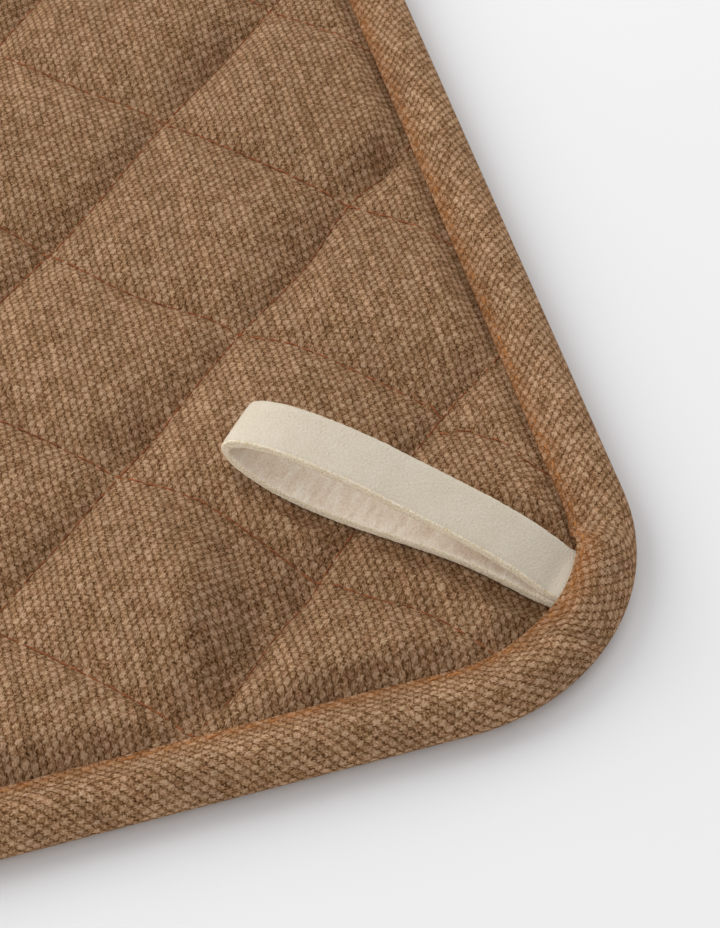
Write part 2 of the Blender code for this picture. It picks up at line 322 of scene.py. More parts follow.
LOOP_IN = np.array([-0.7414, 0.6711])
LOOP_ACROSS = np.array([-0.6711, -0.7414])
LOOP_LOWER = (
    # run, height
    (-3.0, 4.15),
    (0.0, 4.20),
    (4.0, 4.55),
    (8.0, 5.55),
    (13.0, 6.55),
    (18.0, 6.95),
    (25.0, 6.75),
    (33.0, 6.35),
    (39.0, 6.35),
    (44.0, 6.85),
    (48.5, 7.80),
)
PRESSED_GAP = 0.45              # mm between strap and cloth
PRESSED_MARGIN = 1.8            # mm beside the strap that it presses too
PRESSED_SLOPE = 0.8             # how steeply the cloth may rise from there
PRESSED_BEYOND = 6.0            # mm past the table's end


def puff(a, b):
    """0 on the stitched lines, about 1 at the top of a diamond."""
    swells = []
    for t, (top, rise, fall) in ((a % 1.0, ARCH_ACROSS_V), (b % 1.0, ARCH_ACROSS_U)):
        climb = 1.0 - (1.0 - np.minimum(t / top, 1.0)) ** rise
        dive = 1.0 - (np.maximum(t - top, 0.0) / (1.0 - top)) ** fall
        swells.append(np.minimum(climb, dive))
    turn = PUFF_PHASE_A * np.floor(a) + PUFF_PHASE_B * np.floor(b)
    return swells[0] * mix(SLACK_U, 1.0, swells[1]) * (1.0 + PUFF_SPREAD * np.sin(turn))


def fold_drop(x, y):
    """How far the listed folds pull the cloth down before some of the seams."""
    drop = np.zeros_like(x)
    for a, b, turn, length, before, after, depth in FOLDS:
        spot = lattice_point(np.array([a]), np.array([b]))
        flat = np.stack([x - spot[0], y - spot[1]], axis=1)
        angle = math.radians(turn)
        over = flat @ (ALONG_U * math.cos(angle) + ALONG_V * math.sin(angle))
        along = flat @ (ALONG_V * math.cos(angle) - ALONG_U * math.sin(angle))
        reach = np.where(over < 0, before, after)
        drop += depth * np.exp(-(along / length) ** 2 - (over / reach) ** 2)
    return drop


def waves(x, y, size, seed):
    """Soft uneven swell between about -1 and 1."""
    turns = np.random.default_rng(seed)
    total = np.zeros_like(x)
    for _ in range(WAVE_COUNT):
        heading, phase = turns.uniform(0.0, 2 * np.pi, 2)
        length = size * turns.uniform(*WAVE_SPREAD)
        total += np.sin((x * np.cos(heading) + y * np.sin(heading)) * 2 * np.pi / length + phase)
    return total / (WAVE_COUNT / 2)


def room_under_strap(x, y):
    """Highest that the face may come where the strap presses it."""
    flat = np.stack([x, y], axis=1) - LOOP_ROOT
    run, off = flat @ LOOP_IN, flat @ LOOP_ACROSS
    beside = np.maximum(np.abs(off) - STRAP_W / 2 - PRESSED_MARGIN, LOOP_LOWER[0][0] - 1 - run)
    under = np.interp(run, *np.array(LOOP_LOWER).T) - STRAP_T / 2 - PRESSED_GAP
    room = under + PRESSED_SLOPE * np.maximum(beside, 0.0)
    return np.where(run > LOOP_LOWER[-1][0] + PRESSED_BEYOND, np.inf, room)


def held_by_binding(x, y, quilted, column, reach):
    """Ease the quilted height into the height at which the binding holds the cloth."""
    inset = inset_at(x, y)
    rows = np.array(HELD_EDGE).T
    held = np.interp(inset, rows[0], rows[column])
    return mix(held, quilted, smooth((inset - BINDING_W) / reach))


def face_height(x, y):
    a, b = lattice_place(x, y)
    from_v = np.abs(a - np.round(a))
    from_u = np.abs(b - np.round(b))
    swell = puff(a, b)
    quilted = SEAM_TOP + CROWN_TOP * swell + LUMPS * swell * waves(x, y, LUMP_SIZE, 1)
    for along, from_seam, seed in ((b * CELL_V, from_v, 4), (a * CELL_U, from_u, 5)):
        drift = PUCKER_DRIFT * waves(x, y, PUCKER_DRIFT_SIZE, seed)
        pucker = np.sin(along * 2 * np.pi / PUCKER_LENGTH + drift)
        quilted += PUCKER * swell ** 0.5 * pucker * np.exp(-from_seam / PUCKER_REACH)
    crease = CREASE * np.exp(-(from_u / CREASE_HALF) ** 2) * np.minimum(1.0, 2 * swell)
    quilted -= fold_drop(x, y) + crease
    height = held_by_binding(x, y, quilted, FACE, FACE_RISE)
    return np.minimum(height, room_under_strap(x, y))


def back_height(x, y):
    quilted = SEAM_UNDER - CROWN_UNDER * puff(*lattice_place(x, y))
    return np.maximum(0.0, held_by_binding(x, y, quilted, BACK, BACK_FALL))


crest = face_height(*lattice_point(np.array([0.5]), np.array([-0.5])))
print("a diamond is", crest.round(2), "mm high in the middle and", SEAM_TOP, "at its seams")

# %% [markdown]
# The cloth's mesh needs many points near the seams, where it bends sharply, and few on the tops.
# A plain grid can't do both, so the points follow the lattice, closer together near whole numbers,
# with rings along the edge. A Delaunay mesh then joins them into triangles without slivers. The
# face and the back have the same outer ring, which is bridged, so the panel is one closed cushion.

# %% Build the panel
FACE_STEPS = 38                 # points across a cell on the face
BACK_STEPS = 12
FACE_RINGS = (2.4, 3.3, 4.7, 5.7, 6.6, 8.0, 9.2, 9.9, 10.5, 11.2, 12.0, 13.0, 14.0, 15.0)
BACK_RINGS = (2.4, 4.7, 8.0, 10.0, 12.0, 14.0)
RING_STEP = 2.2                 # mm between the points of a ring
LATTICE_INSET = 15.6            # mm, where the lattice's points begin
LATTICE_REACH = 5               # cells each way
CROWDING = 0.09                 # cells by which points are drawn to a seam
SAME_SPOT = 1e-5                # mm


def outward(mesh, bm=None):
    """Turn a closed mesh's faces outwards. They are in bm, or else in the mesh already."""
    if bm is None:
        bm = bmesh.new()
        bm.from_mesh(mesh)
    bmesh.ops.recalc_face_normals(bm, faces=bm.faces)
    bm.to_mesh(mesh)
    bm.free()
    mesh.shade_smooth()
    return mesh


def panel_plan(rings, steps):
    """Triangles in plan for one cloth."""
    centres, normals, _ = outline(RING_STEP)
    spots = [centres + normals * (CORNER_R - inset) for inset in rings]
    ease = np.arange(steps) / steps
    ease = ease - CROWDING * np.sin(2 * np.pi * ease)
    cells = np.arange(-LATTICE_REACH, LATTICE_REACH + 1)
    line = (cells[:, None] + ease).ravel()
    a, b = (grid.ravel() for grid in np.meshgrid(line, line))
    x, y = lattice_point(a, b)
    inside = within(x, y, LATTICE_INSET)
    spots.append(np.stack([x[inside], y[inside]], axis=1))
    points = [Vector(spot) for spot in np.concatenate(spots)]
    plan, _, faces, _, _, _ = delaunay_2d_cdt(points, [], [], 0, SAME_SPOT)
    return np.array(plan), faces


def build_panel():
    bm = bmesh.new()
    for rings, steps, height, flip in ((FACE_RINGS, FACE_STEPS, face_height, False),
                                       (BACK_RINGS, BACK_STEPS, back_height, True)):
        plan, faces = panel_plan(rings, steps)
        levels = height(plan[:, 0], plan[:, 1])
        corners = [bm.verts.new((x * MM, y * MM, z * MM)) for (x, y), z in zip(plan, levels)]
        for tri in faces:
            bm.faces.new([corners[i] for i in (reversed(tri) if flip else tri)])
    bmesh.ops.bridge_loops(bm, edges=[edge for edge in bm.edges if edge.is_boundary])
    return outward(bpy.data.meshes.new("panel_cloth"), bm)


panel = put("panel_cloth", build_panel())
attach(panel, "root")
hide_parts("quilted_panel")
print("panel has", len(panel.data.polygons), "faces")

# %% [markdown]
# ## The edge binding
#
# The real strip is cut on the bias, its two raw edges are turned under, and it is folded over the
# panel's edge and topstitched. So the section here follows the same road: in from one hidden raw
# edge, round the turned fold, over the roll, and back underneath. Sweeping a section round the
# outline is easy with arrays: one row of points for each stop. The section's own length and the
# travel round the outline become a UV map in metres, because the weave runs along the strip at 45
# degrees, and Object coordinates could not follow it round a corner.

# %% The binding's section
SKIN = (
    # inset, height, lift
    (10.0, 5.35, 1.00),
    (9.0, 5.75, 1.00),
    (8.0, 5.95, 0.96),
    (7.0, 6.45, 0.80),
    (5.9, 7.00, 0.60),
    (4.6, 7.25, 0.38),
    (3.2, 7.00, 0.18),
    (1.9, 6.30, 0.05),
    (0.9, 5.35, 0.00),
    (0.25, 4.20, 0.00),
    (0.0, 3.00, 0.00),
    (0.4, 1.70, 0.00),
    (1.3, 0.60, 0.00),
    (2.6, 0.00, 0.00),
    (6.0, 0.00, 0.00),
    (10.0, 0.00, 0.00),
)
SKIN_STEPS = 3                  # points from one row to the next
LAYER = 0.5                     # mm, one thickness of canvas
TUCK_RISE = 3.15                # mm by which the strap lifts the hem
TUCK_DRAW = 1.3                 # mm by which it draws the hem back
TUCK_SKEW = 0.25                # mm, the hem is drawn back more on the loop's lower side
TUCK_SKEW_ENDS = 1.3            # half widths past which that grows no more
TUCK_ANGLE = math.radians(-35.5)
TUCK_HALF = math.radians(12.5)
TUCK_SHOULDER = math.radians(10.0)
STITCH_INSET = 9.3              # mm, the row of topstitch
STITCH_DENT = 0.22              # mm


def tuck_weight(centres, normals):
    """1 where the strap goes in under the binding, 0 away from it."""
    angle = np.arctan2(normals[:, 1], normals[:, 0])
    there = (centres[:, 0] == CORE) & (centres[:, 1] == -CORE)
    off = np.abs(angle - TUCK_ANGLE)
    return np.where(there, 1.0 - smooth((off - TUCK_HALF) / TUCK_SHOULDER), 0.0)


def tuck_draw(weights, normals):
    """How far the hem's edge is drawn back outwards, in mm."""
    side = (TUCK_ANGLE - np.arctan2(normals[:, 1], normals[:, 0])) / TUCK_HALF
    return weights * (TUCK_DRAW + TUCK_SKEW * np.clip(side, -TUCK_SKEW_ENDS, TUCK_SKEW_ENDS))


def rounded(knots, steps):
    """Catmull-Rom curve through the knots, with so many steps from one to the next."""
    ends = np.vstack([2 * knots[0] - knots[1], knots, 2 * knots[-1] - knots[-2]])
    rows = []
    for p0, p1, p2, p3 in zip(ends, ends[1:], ends[2:], ends[3:]):
        for t in np.arange(steps) / steps:
            rows.append(0.5 * (2 * p1 + (p2 - p0) * t + (2 * p0 - 5 * p1 + 4 * p2 - p3) * t ** 2
                               + (3 * p1 - p0 - 3 * p2 + p3) * t ** 3))
    return np.array(rows + [knots[-1]])


def skin_rows(weight, draw):
    """The outer skin as (inset, height) rows."""
    inset, height, lift = np.array(SKIN).T
    knots = np.stack([inset - lift * draw, height + lift * weight * TUCK_RISE], axis=1)
    return rounded(knots, SKIN_STEPS)


def inner_side(rows):
    """Unit vectors from the rows to their inner side."""
    run = np.gradient(rows, axis=0)
    run /= np.linalg.norm(run, axis=1)[:, None]
    return np.stack([-run[:, 1], run[:, 0]], axis=1)


print("the strip's skin is", far_along(skin_rows(0.0, 0.0))[-1].round(1), "mm wide")

# %% Fold the strip and sweep it round the outline
HEM_ROWS_TOP = 15
HEM_ROWS_UNDER = 5
HEM_DEPTH = 0.78                # mm from the skin to the middle of the layer turned under
FOLD_TURNS = np.radians((35, 90, 145))
FOLD_BULGE = np.array([0.3, 0.0])       # mm inwards
BINDING_STEP = 1.6              # mm
STITCH_PITCH = 3.1              # mm
PULL = 0.25                     # how much the dent changes from stitch to stitch
DENT_HALF = 0.75                # mm
TOP_FROM, TOP_BLEND = 3.0, 1.5  # mm, where the roll's top begins, and how softly
WAVE = 0.14                     # mm, how uneven the folded strip lies
WAVE_SIZE = 22.0                # mm


def strip_road(weight, draw):
    """Middle of the strip's thickness, from one hidden raw edge to the other."""
    rows = skin_rows(weight, draw)
    inner = inner_side(rows)
    shell, hem = rows + inner * (LAYER / 2), rows + inner * HEM_DEPTH
    turns = []
    for end, side in ((0, -1), (-1, 1)):
        middle = (shell[end] + hem[end]) / 2
        half = (shell[end] - hem[end]) / 2 * side
        turns.append([middle + half * math.cos(angle) + FOLD_BULGE * math.sin(angle)
                      for angle in FOLD_TURNS])
    return np.concatenate([hem[:HEM_ROWS_TOP][::-1], turns[0], shell, turns[1],
                           hem[-HEM_ROWS_UNDER:][::-1]])


def build_binding():
    centres, normals, travel = outline(BINDING_STEP)
    weights = tuck_weight(centres, normals)
    draws = tuck_draw(weights, normals)
    rings, widths = [], []
    for weight, draw in zip(weights, draws):
        road = strip_road(weight, draw)
        half = inner_side(road) * (LAYER / 2)
        rings.append(np.concatenate([road - half, (road + half)[::-1]]))
        width = far_along(road)
        widths.append(np.concatenate([width, width[::-1]]))
    rings, widths = np.array(rings), np.array(widths)
    stops, around = rings.shape[:2]

    # the topstitch pulls a dent into the roll, and the cloth is never quite even
    inset, height = rings[..., 0], rings[..., 1]
    along = np.repeat(travel[:-1, None], around, axis=1)
    on_top = smooth((height - TOP_FROM) / TOP_BLEND)
    pull = 1 - PULL - PULL * np.cos(2 * np.pi * along / STITCH_PITCH)
    from_row = inset + draws[:, None] - STITCH_INSET
    dent = STITCH_DENT * np.exp(-(from_row / DENT_HALF) ** 2) * pull
    uneven = WAVE * waves(along, widths, WAVE_SIZE, 7) * on_top
    height = height + on_top * (uneven - dent)

    plan = centres[:, None] + normals[:, None] * (CORNER_R - inset)[..., None]
    points = np.concatenate([plan, height[..., None]], axis=2).reshape(-1, 3) * MM
    ring, step = np.meshgrid(np.arange(stops), np.arange(around), indexing="ij")
    following, beside = (ring + 1) % stops, (step + 1) % around
    quads = np.stack([ring * around + step, ring * around + beside,
                      following * around + beside, following * around + step], axis=2)
    mesh = bpy.data.meshes.new("binding_strip")
    mesh.from_pydata(points.tolist(), [], quads.reshape(-1, 4).tolist())

    # UV in metres: u along the strip, v across it, and no wrap inside a face
    u = travel[np.stack([ring, ring, ring + 1, ring + 1], axis=2)]
    v = np.stack([widths[ring, step], widths[ring, beside],
                  widths[following, beside], widths[following, step]], axis=2)
    uv = mesh.uv_layers.new(name="strip")
    uv.data.foreach_set("uv", (np.stack([u, v], axis=3).reshape(-1) * MM).astype(np.float32))
    return mesh, travel[-1], widths.max()


binding_mesh, strip_length, strip_width = build_binding()
binding = put("binding_strip", outward(binding_mesh))
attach(binding, "root")
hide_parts("edge_binding")
print("strip is", round(strip_length), "by", round(float(strip_width), 1), "mm,",
      len(binding_mesh.polygons), "faces")

# %% [markdown]
# ## The hanging loop
#
# The strap is thick leather: a smooth cream grain side outside, a soft suede side inside, and a cut
# edge where the fibres show paler. One closed tube with a rounded rectangle as its section follows
# the fold, and the faces of the section's four sides get three different finishes.

# %% Build the strap
LOOP_FOLD = (
    # run, height
    (52.3, 9.35),
    (55.2, 11.35),
    (56.35, 13.50),
    (55.3, 15.50),
    (52.5, 16.75),
)
LOOP_UPPER = (
    # run, height
    (48.0, 17.50),
    (43.0, 17.50),
    (38.0, 17.10),
    (33.0, 16.35),
    (28.0, 15.25),
    (23.0, 14.15),
    (18.0, 13.00),
    (13.0, 11.70),
    (8.0, 9.95),
    (4.2, 8.05),
    (1.8, 6.60),
    (0.0, 6.25),
    (-3.0, 6.25),
)
STRAP_STEP = 0.45               # mm between sections
CURVE_STEPS = 30                # from one row of the tables to the next
ACROSS_PARTS, EDGE_PARTS = 12, 5
EDGE_ROUND = 0.16               # mm
EDGE_ROUGH = 0.03               # mm
EDGE_BAND = 0.4                 # mm in from the edge that are rough
GRAIN_DROP = 0.10               # mm by which the knife pressed down the grain side's edges
GRAIN_DROP_POWER = 6
LAST_GIRTH = 0.3                # mm from the section's last point round to its first
GRAIN, CUT, SUEDE = 0, 1, 2


def curve_through(rows, spacing):
    """Evenly spaced points on the curve through the rows, and their distance along it."""
    dense = rounded(np.array(rows), CURVE_STEPS)
    far = far_along(dense)
    even = np.linspace(0, far[-1], round(far[-1] / spacing) + 1)
    return np.stack([np.interp(even, far, dense[:, i]) for i in (0, 1)], axis=1), even


def strap_section():
    """Rounded rectangle: offsets across, depth towards the outer face, and each side's finish."""
    half_w, half_t, r = STRAP_W / 2, STRAP_T / 2, EDGE_ROUND
    spots, finish = [], []
    sides = (
        # start, end, steps, finish
        ((-half_w + r, half_t), (half_w - r, half_t), ACROSS_PARTS, GRAIN),
        ((half_w, half_t - r), (half_w, -half_t + r), EDGE_PARTS, CUT),
        ((half_w - r, -half_t), (-half_w + r, -half_t), ACROSS_PARTS, SUEDE),
        ((-half_w, -half_t + r), (-half_w, half_t - r), EDGE_PARTS, CUT),
    )
    for start, end, steps, kind in sides:
        for t in np.linspace(0, 1, steps + 1):
            spots.append(mix(np.array(start), np.array(end), t))
            finish.append(kind)
        finish[-1] = CUT
    return np.array(spots), finish


def build_strap():
    road, far = curve_through(LOOP_LOWER + LOOP_FOLD + LOOP_UPPER, STRAP_STEP)
    section, finish = strap_section()
    side, depth = section.T
    rough = np.random.default_rng(12).normal(0, EDGE_ROUGH, (len(road), len(section)))
    across = side + rough * np.sign(side) * (np.abs(side) > STRAP_W / 2 - EDGE_BAND)
    pressed = np.abs(side / (STRAP_W / 2)) ** GRAIN_DROP_POWER * (depth > 0)
    depth = depth - GRAIN_DROP * pressed
    spine = road[:, None] - inner_side(road)[:, None] * depth[None, :, None]
    plan = (LOOP_ROOT + LOOP_IN * spine[..., :1]) + LOOP_ACROSS * across[..., None]
    points = np.concatenate([plan, spine[..., 1:]], axis=2)
    stops, around = points.shape[:2]
    bm = bmesh.new()
    corners = [bm.verts.new(p) for p in (points.reshape(-1, 3) * MM).tolist()]
    uv = bm.loops.layers.uv.new("strap")
    girth = far_along(section)
    for i in range(stops - 1):
        for j in range(around):
            k = (j + 1) % around
            ids = (i * around + j, i * around + k, (i + 1) * around + k, (i + 1) * around + j)
            face = bm.faces.new([corners[n] for n in ids])
            face.material_index = finish[j]
            ends = (girth[j], girth[k] if k else girth[-1] + LAST_GIRTH)
            for loop, (s, g) in zip(face.loops, ((i, 0), (i, 1), (i + 1, 1), (i + 1, 0))):
                loop[uv].uv = (far[s] * MM, ends[g] * MM)
    for ring in (corners[:around], corners[-around:]):
        bm.faces.new(ring).material_index = CUT
    return outward(bpy.data.meshes.new("loop_strap"), bm), far[-1]


strap_mesh, strap_length = build_strap()
strap = put("loop_strap", strap_mesh)
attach(strap, "root")
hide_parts("hanging_loop")
print("strap is", round(float(strap_length), 1), "mm long,", len(strap_mesh.polygons), "faces")

# %% [markdown]
# ## Thread
#
# A machine stitch is a short piece of thread that comes up through one hole and dives into the
# next. Hundreds of them follow the seams, so Geometry Nodes make them: a line of points is cut
# into equal steps, a little bowed tube is placed at each, turned along the line, and sunk by a
# random depth, because the coarse weave half swallows some stitches. The tree ends by making the
# instances real and giving them their material, since the export knows no instances.

# %% Where the seams run
SEAM_STEP = 0.01                # cells
SEAM_INSET = 10.6               # mm, where the seams go under the binding
SEAM_REACH = 6                  # cells each way
SEAM_LEAST = 20                 # steps, shorter bits are left out
TOPSTITCH_STEP = 1.0            # mm
TOP_ROWS = 30                   # of the skin, from its hem to the outermost point


def seam_runs(height, rise):
    """Each quilting line's points in metres, cut off at the binding."""
    runs = []
    along = np.arange(-SEAM_REACH, SEAM_REACH, SEAM_STEP)
    for line in range(-SEAM_REACH, SEAM_REACH + 1):
        whole = np.full_like(along, line)
        for a, b in ((whole, along), (along, whole)):
            x, y = lattice_point(a, b)
            inside = within(x, y, SEAM_INSET)
            x, y = x[inside], y[inside]
            if len(x) > SEAM_LEAST:
                runs.append(np.stack([x, y, height(x, y) + rise], axis=1) * MM)
    return runs


def topstitch_run():
    """The binding's topstitch, a closed line at the bottom of its dent."""
    centres, normals, _ = outline(TOPSTITCH_STEP)
    weights = tuck_weight(centres, normals)
    draws = tuck_draw(weights, normals)
    levels = []
    for weight, draw in zip(weights, draws):
        inset, height = skin_rows(weight, draw)[:TOP_ROWS].T
        order = np.argsort(inset)
        levels.append(np.interp(STITCH_INSET - draw, inset[order], height[order]) - STITCH_DENT)
    plan = centres + normals * (CORNER_R - STITCH_INSET + draws)[:, None]
    points = np.column_stack([plan, levels]) * MM
    return [np.vstack([points, points[:1]])]


def line_object(name, runs):
    """Seams as bare edges, for Geometry Nodes to follow."""
    mesh = bpy.data.meshes.new(name)
    points = np.concatenate(runs)
    edges, first = [], 0
    for run in runs:
        edges += [(first + i, first + i + 1) for i in range(len(run) - 1)]
        first += len(run)
    mesh.from_pydata(points.tolist(), edges, [])
    return put(name, mesh)


# %% The stitch tree
STITCH_SIZES = ("Pitch", "Stitch Length", "Thread Radius", "Dip", "Sunk")
STITCH_SPREAD = {"Min": 0.84, "Max": 1.06}      # lengths against the given one
STITCH_POINTS = 6
THREAD_SIDES = 6
BOW = 3.0                       # power: the ends dive and the middle lies level


def stitch_tree():
    """Geometry Nodes that set a stitch at every step of a line."""
    tree = bpy.data.node_groups.new("stitches_along_a_seam", "GeometryNodeTree")
    for name, kind in (("Seam", "Geometry"), *((size, "Float") for size in STITCH_SIZES),
                       ("Seed", "Int"), ("Thread", "Material")):
        tree.interface.new_socket(name, in_out="INPUT", socket_type="NodeSocket" + kind)
    tree.interface.new_socket("Stitches", in_out="OUTPUT", socket_type="NodeSocketGeometry")
    given = add(tree, "NodeGroupInput").outputs

    # one stitch: a short line whose ends dip into the cloth
    half = add(tree, MATH, (given["Stitch Length"], 0.5), operation="MULTIPLY")
    minus = add(tree, MATH, (half, -1.0), operation="MULTIPLY")
    ends = [add(tree, "ShaderNodeCombineXYZ", (x,)) for x in (minus, half)]
    line = add(tree, "GeometryNodeCurvePrimitiveLine", ends)
    cut = add(tree, "GeometryNodeResampleCurve", {"Curve": line, "Count": STITCH_POINTS})
    place = add(tree, "ShaderNodeSeparateXYZ", (add(tree, "GeometryNodeInputPosition"),))
    share = add(tree, MATH, (place, half), operation="DIVIDE")
    share = add(tree, MATH, (share,), operation="ABSOLUTE")
    steep = add(tree, MATH, (share, BOW), operation="POWER")
    drop = add(tree, MATH, (steep, given["Dip"]), operation="MULTIPLY")
    drop = add(tree, MATH, (drop, -1.0), operation="MULTIPLY")
    bowed = add(tree, "GeometryNodeSetPosition", {
        "Geometry": cut, "Offset": add(tree, "ShaderNodeCombineXYZ", {"Z": drop})})
    girth = add(tree, "GeometryNodeCurvePrimitiveCircle",
                {"Resolution": THREAD_SIDES, "Radius": given["Thread Radius"]})
    stitch = add(tree, "GeometryNodeCurveToMesh",
                 {"Curve": bowed, "Profile Curve": girth, "Fill Caps": True})

    # equal steps along the seam, each with the seam's heading, its own length and its own depth
    seam = add(tree, "GeometryNodeMeshToCurve", (given["Seam"],))
    steps = add(tree, "GeometryNodeResampleCurve", {"Curve": seam, "Length": given["Pitch"]},
                mode="LENGTH")
    heading = add(tree, "GeometryNodeInputTangent")
    turned = add(tree, "FunctionNodeAlignRotationToVector", {"Vector": heading},
                 axis="X", pivot_axis="Z")
    pitched = add(tree, "FunctionNodeAlignRotationToVector",
                  {"Rotation": turned, "Vector": heading}, axis="X", pivot_axis="Y")
    size = add(tree, "FunctionNodeRandomValue", {**STITCH_SPREAD, "Seed": given["Seed"]},
               data_type="FLOAT")
    deepest = add(tree, MATH, (given["Sunk"], -1.0), operation="MULTIPLY")
    other = add(tree, MATH, (given["Seed"], 1.0), operation="ADD")
    sunk = add(tree, "FunctionNodeRandomValue", {"Min": deepest, "Max": 0.0, "Seed": other},
               data_type="FLOAT")
    lowered = add(tree, "GeometryNodeSetPosition", {
        "Geometry": steps, "Offset": add(tree, "ShaderNodeCombineXYZ", {"Z": sunk})})
    row = add(tree, "GeometryNodeInstanceOnPoints", {
        "Points": lowered, "Instance": stitch, "Rotation": pitched,
        "Scale": add(tree, "ShaderNodeCombineXYZ", (size, 1.0, 1.0))})
    real = add(tree, "GeometryNodeRealizeInstances", (row,))
    dyed = add(tree, "GeometryNodeSetMaterial", {"Geometry": real, "Material": given["Thread"]})
    add(tree, "NodeGroupOutput", (dyed,))
    return tree


STITCHES = stitch_tree()


def sew(name, runs, material, seed, *sizes):
    """Run the tree on some seams and keep the result as a plain mesh. Sizes are in mm."""
    path = line_object(name + "_path", runs)
    modifier = path.modifiers.new("stitches", "NODES")
    modifier.node_group = STITCHES
    inputs = {"Seed": seed, "Thread": material}
    inputs.update((key, size * MM) for key, size in zip(STITCH_SIZES, sizes))
    for item in STITCHES.interface.items_tree:
        if item.in_out == "INPUT" and item.name in inputs:
            modifier[item.identifier] = inputs[item.name]
    graph = bpy.context.evaluated_depsgraph_get()
    mesh = bpy.data.meshes.new_from_object(path.evaluated_get(graph))
    mesh.name = name
    bpy.data.objects.remove(path, do_unlink=True)
    thread = put(name, outward(mesh))
    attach(thread, "root")
    print(name, "has", len(mesh.polygons), "faces")


# %% [markdown]
# ## Canvas
#
# The cloth is a coarse cotton canvas in plain weave. What the eye sees is a checkerboard of short
# warp floats, each a plump bright grain with a dark gap round it. The columns are 1.22 mm apart and
# the weft threads 0.68 mm, measured on the picture, so a float comes back every 1.36 mm down a
# column, and neighbouring columns are half a step apart. Sums on the coordinates find the column
# and the float, white noise gives each its own tone, and a cosine across both ways rounds it. A
# Voronoi pattern could make the jitter but not the columns. The colour follows the yarn's height,
# so the shade in the gaps and the highlight on the floats' tops are painted into it. In the picture
# the strip is more orange along its fold, so the binding's canvas gets a patchy orange tint there.

# %% The canvas recipe: find the yarn
COLUMN = 1.22                   # mm between warp columns
FLOAT = 1.36                    # mm between floats in one column
SLANT = 0.25                    # how much a float leans, in floats per column
YARN_BENDS = (
    # waves to the metre, detail, reach in metres: yarns are never straight
    (90.0, 1.0, 0.0011),
    (900.0, 2.0, 0.00062),
)


def repeat(tree, value):
    """Number of the repeat that a value falls in, and its place there from -0.5 to 0.5."""
    number = add(tree, MATH, (value,), operation="FLOOR")
    place = add(tree, MATH, (value,), operation="FRACT")
    return number, add(tree, MATH, (place, 0.5), operation="SUBTRACT")


def find_float(tree, at, turn):
    """Bend the plane, then give the grid, the place across and along a float, and its numbers."""
    bent = at
    for scale, detail, reach in YARN_BENDS:
        noise = add(tree, "ShaderNodeTexNoise", {"Vector": at, "Scale": scale, "Detail": detail})
        centred = add(tree, "ShaderNodeVectorMath", (noise.outputs["Color"], (0.5, 0.5, 0.5)),
                      operation="SUBTRACT")
        moved = add(tree, "ShaderNodeVectorMath", (centred, (reach, reach, 0.0)),
                    operation="MULTIPLY")
        bent = add(tree, "ShaderNodeVectorMath", (bent, moved), operation="ADD")
    grid = add(tree, "ShaderNodeMapping", {"Vector": bent, "Rotation": (0.0, 0.0, turn),
                                           "Scale": (COLUMN * MM, FLOAT * MM, 1.0)},
               vector_type="TEXTURE")
    place = add(tree, "ShaderNodeSeparateXYZ", (grid,)).outputs
    column, across = repeat(tree, place[0])
    odd = add(tree, MATH, (column, 2.0), operation="FLOORED_MODULO")
    stepped = add(tree, MATH, (odd, 0.5, place[1]), operation="MULTIPLY_ADD")
    leaned = add(tree, MATH, (across, -SLANT, stepped), operation="MULTIPLY_ADD")
    number, along = repeat(tree, leaned)
    key = add(tree, "ShaderNodeCombineXYZ", (column, number))
    own = add(tree, "ShaderNodeTexWhiteNoise", (key,), noise_dimensions="2D")
    yarn = add(tree, "ShaderNodeTexWhiteNoise", (column,), noise_dimensions="1D")
    return grid, across, along, own.outputs["Color"], yarn


# %% The canvas recipe: how high the yarn lies
PLUMP_ACROSS = 0.7                      # powers: the lower, the plumper
PLUMP_ALONG = 0.8
BRIDGE = 0.87                           # how far the weft fills the gap between two columns
NOTCH = (0.44, 0.53)                    # height that a float loses at its ends, and keeps
FLOAT_SIZE = (0.35, 0.68)               # spread of the floats' heights, and the least
FIBRE_TURN = math.radians(38.0)         # fibres lie slanted round a twisted yarn
FIBRE_SIZE = (4.6, 3.0, 1.0)            # waves across and along, in floats
FIBRE_HEIGHT = 2.3
FLUFF_HEIGHT = 0.45
SUNK = 0.31                             # taken off all heights, so that gaps come out dark


def hump(tree, place, power):
    """1 in the middle of a repeat and 0 at its ends."""
    angle = add(tree, MATH, (place, math.pi), operation="MULTIPLY")
    arch = add(tree, MATH, (angle,), operation="COSINE")
    return add(tree, MATH, (arch, power), operation="POWER")


def float_height(tree, across, along, own):
    """A plump grain, round across the yarn, with only a notch where the next float begins."""
    wide = hump(tree, across, PLUMP_ACROSS)
    # the gap beside it is deep only where four yarns meet: between those pits the weft bridges it
    pits = add(tree, MATH, (along, 4 * math.pi), operation="MULTIPLY")
    pits = add(tree, MATH, (pits,), operation="COSINE")
    filled = add(tree, MATH, (pits, BRIDGE / 2, BRIDGE / 2), operation="MULTIPLY_ADD")
    open_part = add(tree, MATH, (1.0, filled), operation="SUBTRACT")
    wide = add(tree, MATH, (wide, open_part, filled), operation="MULTIPLY_ADD")
    notch = add(tree, MATH, (hump(tree, along, PLUMP_ALONG), *NOTCH),
                operation="MULTIPLY_ADD")
    grain = add(tree, MATH, (wide, notch), operation="MULTIPLY")
    size = add(tree, MATH, (own, *FLOAT_SIZE), operation="MULTIPLY_ADD")
    return add(tree, MATH, (grain, size), operation="MULTIPLY")


